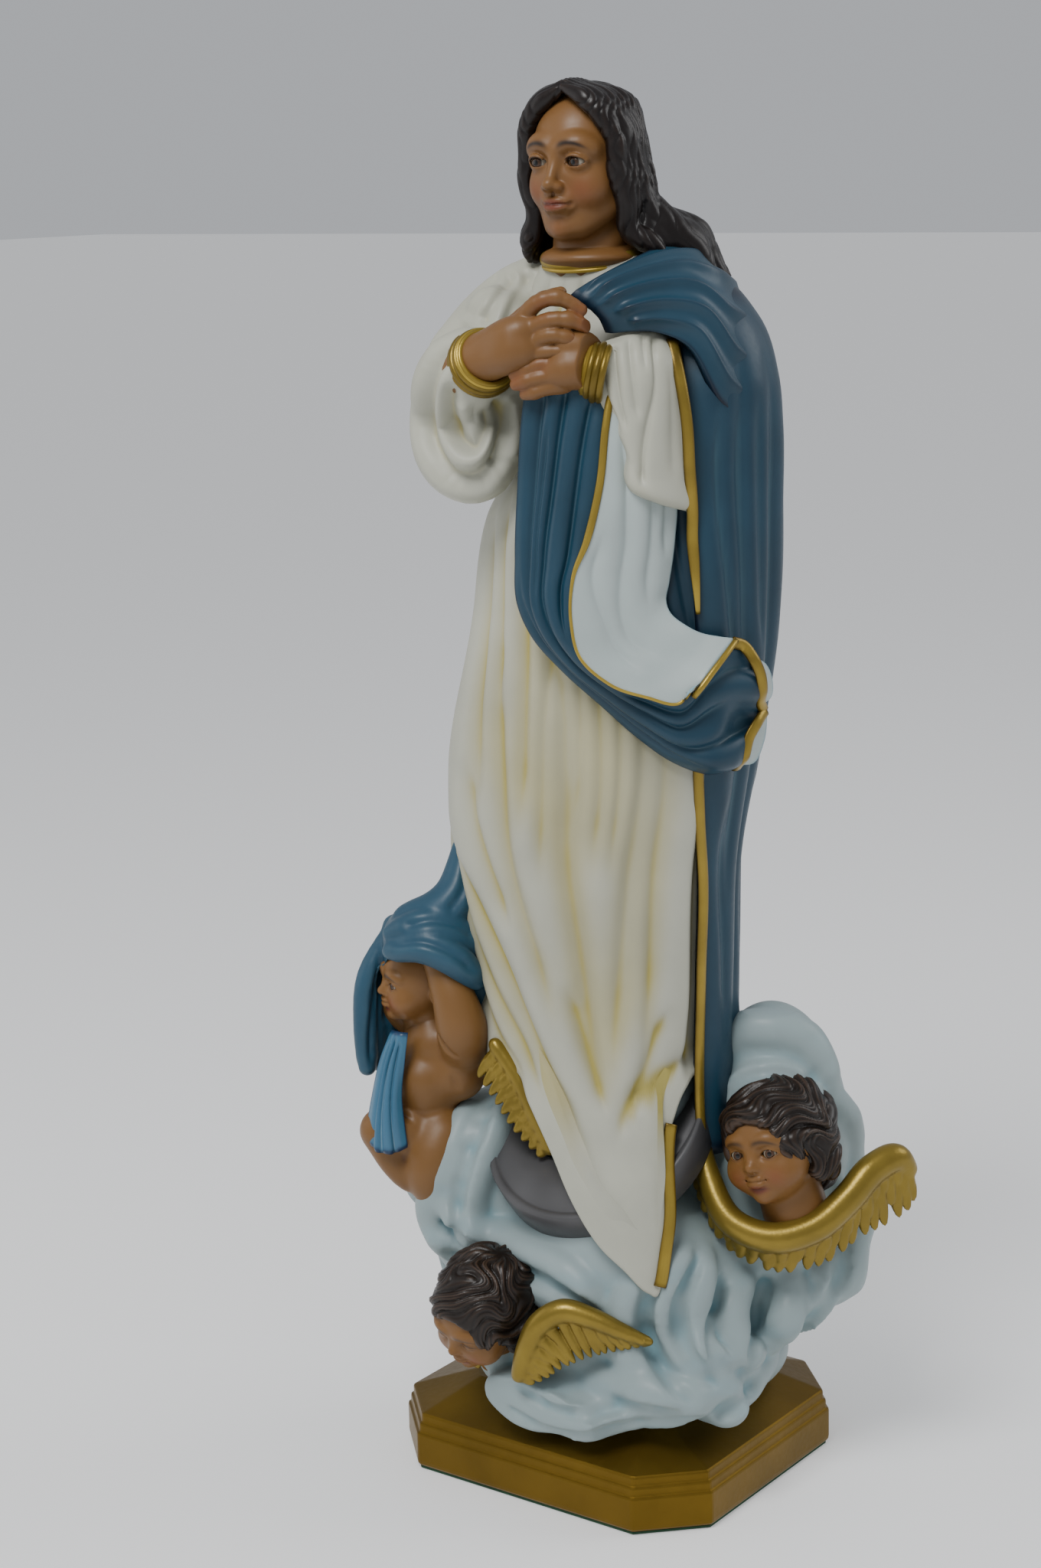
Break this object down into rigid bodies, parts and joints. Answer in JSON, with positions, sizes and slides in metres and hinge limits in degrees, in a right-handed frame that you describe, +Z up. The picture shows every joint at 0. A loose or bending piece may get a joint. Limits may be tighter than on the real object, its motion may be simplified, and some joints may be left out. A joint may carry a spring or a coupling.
{
  "type": "madonna statue",
  "caption": "Painted cast statue of a standing madonna with crossed hands in a blue mantle, on a crescent moon and cloud with cherubs, on a gilt octagonal plinth.",
  "frame": {"origin": "centre of the felt's underside, the face the statue stands on", "axes": "+Z up to the crown of the head, -Y the way the figure faces, +X its left hand"},
  "size_m": [0.4725, 0.3252, 1.2],
  "materials": {
    "gilt": "gilt paint over a cast surface, satin",
    "gown_white": "cream white paint with a yellow glaze in the folds",
    "girdle_cord": "painted cord in relief",
    "mantle_blue": "blue paint with dark glaze in the folds",
    "lining_pale": "pale blue paint",
    "sash_blue": "light blue paint",
    "skin": "flesh paint, semi-gloss",
    "hair_dark": "dark brown paint, satin",
    "hair_brown": "brown paint, satin",
    "moon_silver": "silver grey paint",
    "cloud_white": "white paint with a blue glaze in the hollows",
    "eye_glass": "blown glass, painted behind",
    "steel": "zinc plated",
    "timber": "bare wood",
    "felt": "green felt"
  },
  "bodies": {
    "root": {"armature_rod": "steel", "base_board": "timber", "base_felt": "felt", "base_screws": "steel", "bearer_body": "skin", "bearer_head": "skin", "bearer_sash": "sash_blue", "bearer_veil": "mantle_blue", "bearer_wings": "gilt", "cherub_dowels": "timber", "cherub_eyes": "eye_glass", "chest_block": "timber", "cloud": "cloud_white", "cloud_deck": "timber", "collar": "gilt", "corner_blocks": "timber", "crescent_moon": "moon_silver", "front_cherub_hair": "hair_brown", "front_cherub_head": "skin", "front_cherub_wings": "gilt", "girdle": "girdle_cord", "glass_eyes": "eye_glass", "gown": "gown_white", "gown_deck": "timber", "hair": "hair_dark", "head": "skin", "hem_trim": "gilt", "left_cuff": "gilt", "left_hand": "skin", "left_sleeve": "gown_white", "mantle_back": "mantle_blue", "mantle_front": "mantle_blue", "mantle_lining": "lining_pale", "mantle_shoulder": "mantle_blue", "mantle_trim": "gilt", "neck_dowel": "timber", "plinth": "gilt", "right_cuff": "gilt", "right_hand": "skin", "right_sleeve": "gown_white", "rod_nuts": "steel", "rod_washers": "steel", "side_cherub_hair": "hair_brown", "side_cherub_head": "skin", "side_cherub_wings": "gilt", "wrist_dowels": "timber"}
  },
  "joints": []
}
